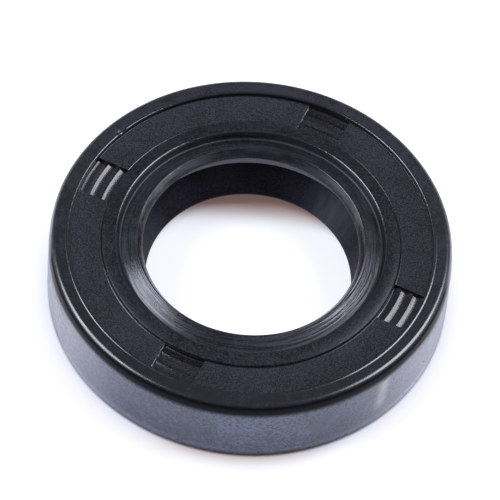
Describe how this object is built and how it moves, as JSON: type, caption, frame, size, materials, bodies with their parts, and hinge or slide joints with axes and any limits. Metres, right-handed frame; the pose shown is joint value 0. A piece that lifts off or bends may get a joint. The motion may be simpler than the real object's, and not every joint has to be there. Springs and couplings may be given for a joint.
{
  "type": "radial shaft seal",
  "caption": "Rubber-covered ring seal for a rotating shaft, with a spring-loaded main lip, a dust lip and a grooved outer fit for a housing bore.",
  "frame": {"origin": "centre of the oil-side face, on the shaft axis, where the seal rests", "axes": "+Z along the shaft axis, from the oil side to the air side; +X and +Y across the seal, the first pocket 68 degrees from +X"},
  "size_m": [0.0472, 0.0472, 0.01],
  "materials": {
    "black_rubber": "black moulded nitrile rubber, satin, with turned marks on the lips",
    "case_steel": "pressed sheet steel, dull phosphated",
    "spring_steel": "drawn spring wire, lightly oiled"
  },
  "bodies": {
    "root": {"rubber_body": "black_rubber", "steel_case": "case_steel", "garter_spring": "spring_steel"}
  },
  "joints": []
}
